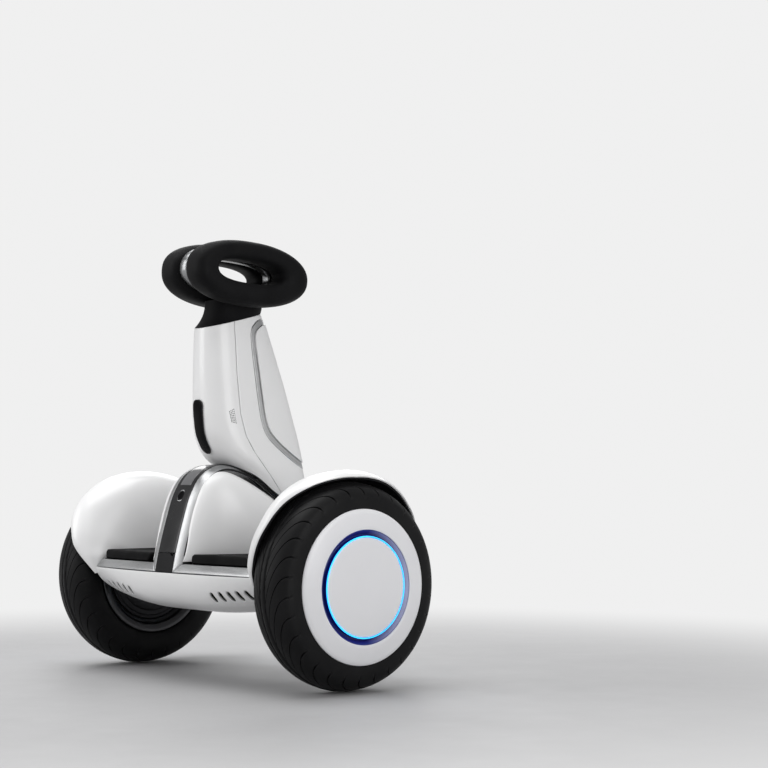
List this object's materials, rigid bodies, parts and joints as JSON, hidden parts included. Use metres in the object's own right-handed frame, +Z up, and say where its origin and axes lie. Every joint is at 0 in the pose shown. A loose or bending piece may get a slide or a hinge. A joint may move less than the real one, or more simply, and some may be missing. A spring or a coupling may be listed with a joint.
{
  "type": "self-balancing scooter",
  "caption": "Self-balancing scooter with hub-motor wheels on one axle line, a low deck with foot mats and a knee-operated tilting stem with an adjustable padded bar.",
  "frame": {"origin": "on the floor, midway between the tyre contact patches, straight below the wheel axis", "axes": "+Z up, +Y the way it drives, +X the rider's right, along the wheel axis"},
  "size_m": [0.5776, 0.277, 0.617],
  "materials": {
    "arch_strip": "dark glossy plastic",
    "battery_pack": "shrink wrapped cells",
    "centring_bush": "moulded rubber",
    "charge_port_cover": "dark soft cover",
    "charge_socket": "black moulded plastic",
    "chassis_frame": "die cast",
    "control_board": "printed circuit board",
    "deck_shell": "satin white moulded plastic",
    "display_window": "black glossy plastic",
    "front_pivot_bearing": "ground steel",
    "head_core": "satin silver",
    "height_clamp": "pressed steel",
    "inner_tube": "anodised tube",
    "arch_trim": "satin silver",
    "axle": "ground steel",
    "centre_cap": "satin white moulded plastic",
    "fender": "satin white moulded plastic",
    "foot_sensor": "rubber pressure pad",
    "footpad": "matte ribbed rubber",
    "hub_cover": "satin white moulded plastic",
    "inner_bearing": "ground steel",
    "knee_pad": "matte soft foam skin",
    "light_bar": "lit blue diffuser",
    "light_ring": "lit blue diffuser",
    "motor_cover": "dark coated casting",
    "outer_bearing": "ground steel",
    "rear_trim": "satin silver",
    "rim": "dark coated cast hub motor rim",
    "stator": "copper windings",
    "tyre": "grooved rubber tread",
    "lower_shell": "satin white moulded plastic",
    "neck": "matte soft skin",
    "outer_tube": "extruded",
    "power_button": "dark glossy plastic",
    "rear_pivot_bearing": "ground steel",
    "steering_shaft": "ground steel",
    "stem_casting": "die cast",
    "stem_foot_cover": "satin white moulded plastic",
    "stem_front_panel": "satin white moulded plastic",
    "stem_main_shell": "satin white moulded plastic",
    "stem_rear_shell": "satin white moulded plastic",
    "stem_trim": "satin silver",
    "top_collar": "black moulded guide"
  },
  "bodies": {
    "chassis": {"arch_strip": "arch_strip", "battery_pack": "battery_pack", "centring_bush": "centring_bush", "charge_socket": "charge_socket", "chassis_frame": "chassis_frame", "control_board": "control_board", "deck_shell": "deck_shell", "front_pivot_bearing": "front_pivot_bearing", "left_arch_trim": "arch_trim", "left_axle": "axle", "left_fender": "fender", "left_foot_sensor": "foot_sensor", "left_footpad": "footpad", "left_light_bar": "light_bar", "left_rear_trim": "rear_trim", "left_stator": "stator", "lower_shell": "lower_shell", "rear_pivot_bearing": "rear_pivot_bearing", "right_arch_trim": "arch_trim", "right_axle": "axle", "right_fender": "fender", "right_foot_sensor": "foot_sensor", "right_footpad": "footpad", "right_light_bar": "light_bar", "right_rear_trim": "rear_trim", "right_stator": "stator"},
    "left_wheel": {"left_tyre": "tyre", "left_rim": "rim", "left_motor_cover": "motor_cover", "left_inner_bearing": "inner_bearing", "left_outer_bearing": "outer_bearing", "left_hub_cover": "hub_cover", "left_light_ring": "light_ring", "left_centre_cap": "centre_cap"},
    "right_wheel": {"right_tyre": "tyre", "right_rim": "rim", "right_motor_cover": "motor_cover", "right_inner_bearing": "inner_bearing", "right_outer_bearing": "outer_bearing", "right_hub_cover": "hub_cover", "right_light_ring": "light_ring", "right_centre_cap": "centre_cap"},
    "stem": {"display_window": "display_window", "stem_rear_shell": "stem_rear_shell", "stem_main_shell": "stem_main_shell", "stem_trim": "stem_trim", "stem_front_panel": "stem_front_panel", "stem_foot_cover": "stem_foot_cover", "stem_casting": "stem_casting", "steering_shaft": "steering_shaft", "outer_tube": "outer_tube", "height_clamp": "height_clamp", "top_collar": "top_collar"},
    "knee_bar": {"right_knee_pad": "knee_pad", "left_knee_pad": "knee_pad", "head_core": "head_core", "neck": "neck", "inner_tube": "inner_tube"},
    "power_button": {"power_button": "power_button"},
    "charge_port_cover": {"charge_port_cover": "charge_port_cover"}
  },
  "joints": [
    {"name": "left_wheel_spin", "type": "hinge", "parent": "chassis", "child": "left_wheel", "pos_m": [-0.244, 0, 0.1385], "axis": [-1, 0, 0], "continuous": true},
    {"name": "right_wheel_spin", "type": "hinge", "parent": "chassis", "child": "right_wheel", "pos_m": [0.244, 0, 0.1385], "axis": [-1, 0, 0], "continuous": true},
    {"name": "steering_tilt", "type": "hinge", "parent": "chassis", "child": "stem", "pos_m": [0, 0.08, 0.14], "axis": [0, 1, 0], "range_deg": [-4.5, 4.5], "stiffness_Nm_per_rad": 25},
    {"name": "bar_height", "type": "slide", "parent": "stem", "child": "knee_bar", "axis": [0, -0.1676, 0.9859], "range_m": [0, 0.1]},
    {"name": "power_button_press", "type": "slide", "parent": "chassis", "child": "power_button", "axis": [0, 0.9134, -0.4072], "range_m": [0, 0.0015], "stiffness_N_per_m": 400},
    {"name": "charge_port_cover_swing", "type": "hinge", "parent": "chassis", "child": "charge_port_cover", "pos_m": [-0.0207, -0.1222, 0.165], "axis": [0, -0.2075, -0.9782], "range_deg": [0, 110]}
  ]
}
